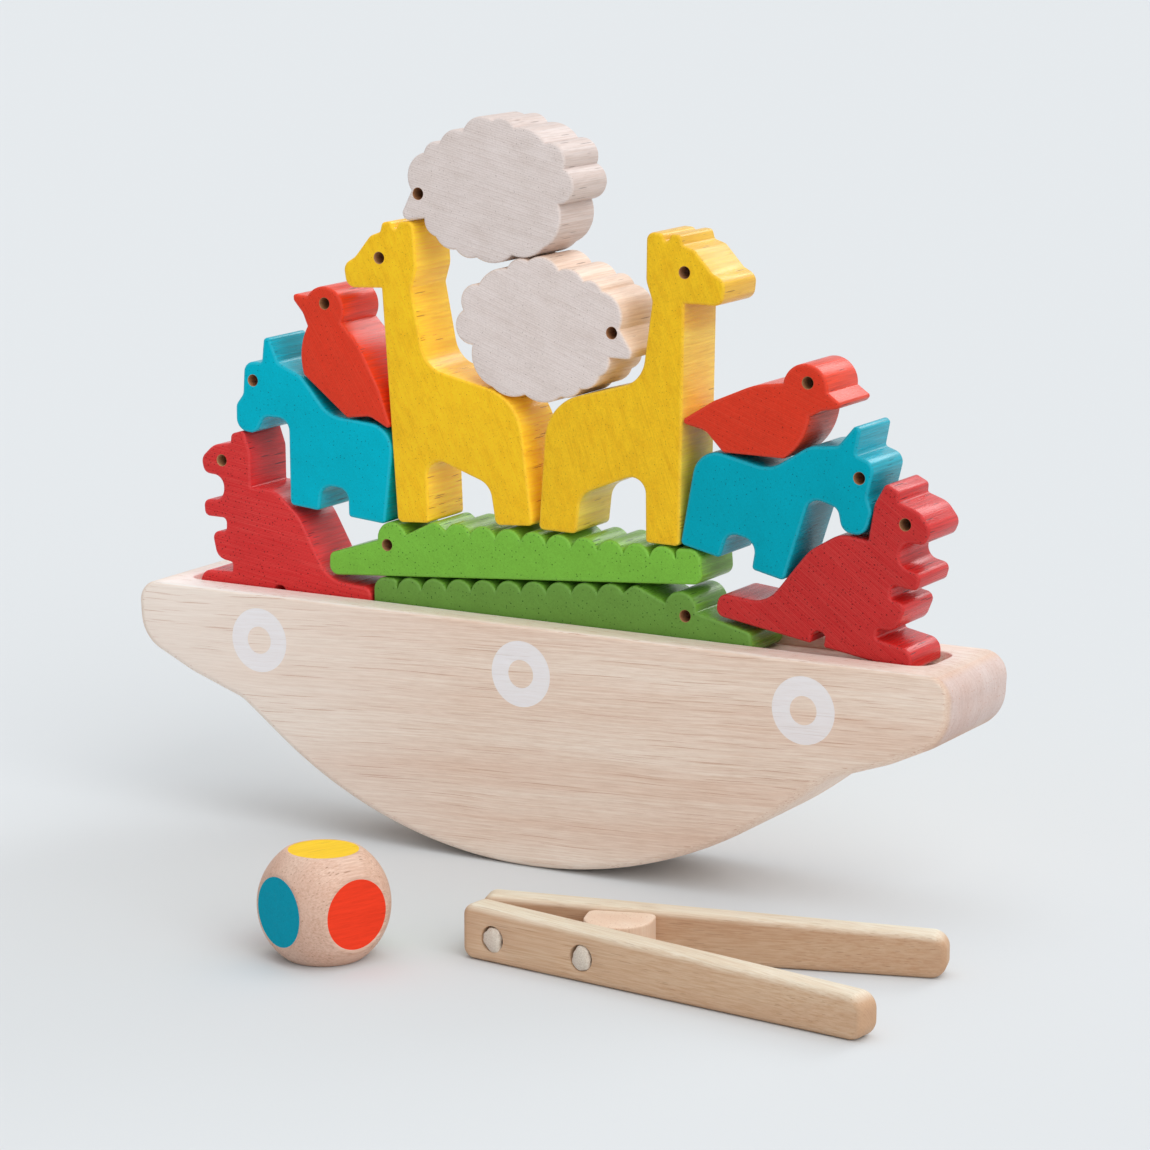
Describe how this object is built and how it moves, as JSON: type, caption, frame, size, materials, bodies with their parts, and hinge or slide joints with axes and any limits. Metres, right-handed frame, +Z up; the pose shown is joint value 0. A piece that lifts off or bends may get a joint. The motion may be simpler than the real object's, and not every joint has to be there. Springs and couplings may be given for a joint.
{
  "type": "balancing boat toy",
  "caption": "Wooden boat on a rocker bottom, stacked with flat animal blocks that interlock and balance, with a colour die and a pair of sprung tongs.",
  "frame": {"origin": "middle of the level facet the boat rests on, on the floor", "axes": "+X along the boat to the end the lower crocodile faces, -Y towards the side with the rings, +Z up"},
  "size_m": [0.2963, 0.1609, 0.2179],
  "materials": {
    "rubberwood": "bare sanded rubberwood with a thin clear coat",
    "giraffe_yellow": "water-based stain on end grain, satin",
    "donkey_teal": "water-based stain on end grain, satin",
    "kangaroo_crimson": "water-based stain on end grain, satin",
    "bird_vermilion": "water-based stain on end grain, satin",
    "crocodile_green": "water-based stain on end grain, satin",
    "sheep_white": "water-based stain on end grain, satin",
    "cord_white": "braided white elastic cord"
  },
  "bodies": {
    "hull": {"hull": "rubberwood"},
    "lower_crocodile": {"lower_crocodile": "crocodile_green"},
    "upper_crocodile": {"upper_crocodile": "crocodile_green"},
    "left_kangaroo": {"left_kangaroo": "kangaroo_crimson"},
    "right_kangaroo": {"right_kangaroo": "kangaroo_crimson"},
    "left_giraffe": {"left_giraffe": "giraffe_yellow"},
    "right_giraffe": {"right_giraffe": "giraffe_yellow"},
    "left_donkey": {"left_donkey": "donkey_teal"},
    "right_donkey": {"right_donkey": "donkey_teal"},
    "left_bird": {"left_bird": "bird_vermilion"},
    "right_bird": {"right_bird": "bird_vermilion"},
    "lower_sheep": {"lower_sheep": "sheep_white"},
    "upper_sheep": {"upper_sheep": "sheep_white"},
    "die": {"die": "rubberwood"},
    "tongs": {"tongs_back_arm": "rubberwood", "tongs_block": "rubberwood", "rear_cord_back": "cord_white", "middle_cord_back": "cord_white"},
    "tongs_front": {"tongs_front_arm": "rubberwood", "rear_cord_front": "cord_white", "middle_cord_front": "cord_white"}
  },
  "joints": [
    {"name": "lower_crocodile_lift", "type": "slide", "parent": "hull", "child": "lower_crocodile", "axis": [0, 0, 1], "range_m": [0, 0.08]},
    {"name": "left_kangaroo_lift", "type": "slide", "parent": "hull", "child": "left_kangaroo", "axis": [0, 0, 1], "range_m": [0, 0.08]},
    {"name": "right_kangaroo_lift", "type": "slide", "parent": "hull", "child": "right_kangaroo", "axis": [0, 0, 1], "range_m": [0, 0.08]},
    {"name": "upper_crocodile_pull", "type": "slide", "parent": "lower_crocodile", "child": "upper_crocodile", "axis": [0, -1, 0], "range_m": [0, 0.04]},
    {"name": "left_giraffe_pull", "type": "slide", "parent": "upper_crocodile", "child": "left_giraffe", "axis": [0, -1, 0], "range_m": [0, 0.04]},
    {"name": "right_giraffe_pull", "type": "slide", "parent": "upper_crocodile", "child": "right_giraffe", "axis": [0, -1, 0], "range_m": [0, 0.04]},
    {"name": "left_donkey_pull", "type": "slide", "parent": "upper_crocodile", "child": "left_donkey", "axis": [0, -1, 0], "range_m": [0, 0.04]},
    {"name": "right_donkey_pull", "type": "slide", "parent": "upper_crocodile", "child": "right_donkey", "axis": [0, -1, 0], "range_m": [0, 0.04]},
    {"name": "left_bird_pull", "type": "slide", "parent": "left_donkey", "child": "left_bird", "axis": [0, -1, 0], "range_m": [0, 0.04]},
    {"name": "right_bird_pull", "type": "slide", "parent": "right_donkey", "child": "right_bird", "axis": [0, -1, 0], "range_m": [0, 0.04]},
    {"name": "lower_sheep_pull", "type": "slide", "parent": "left_giraffe", "child": "lower_sheep", "axis": [0, -1, 0], "range_m": [0, 0.04]},
    {"name": "upper_sheep_lift", "type": "slide", "parent": "lower_sheep", "child": "upper_sheep", "axis": [0, 0, 1], "range_m": [0, 0.06]},
    {"name": "die_lift", "type": "slide", "parent": "hull", "child": "die", "axis": [0, 0, 1], "range_m": [0, 0.04]},
    {"name": "tongs_lift", "type": "slide", "parent": "hull", "child": "tongs", "axis": [0, 0, 1], "range_m": [0, 0.04]},
    {"name": "tongs_squeeze", "type": "hinge", "parent": "tongs", "child": "tongs_front", "pos_m": [0.07305, -0.09207, 0.0069], "axis": [0, 0, 1], "range_deg": [0, 21], "stiffness_Nm_per_rad": 0.5}
  ],
  "couplings": [
    {"joint": "left_kangaroo_lift", "follows": "lower_crocodile_lift", "ratio": 1},
    {"joint": "right_kangaroo_lift", "follows": "lower_crocodile_lift", "ratio": 1}
  ]
}
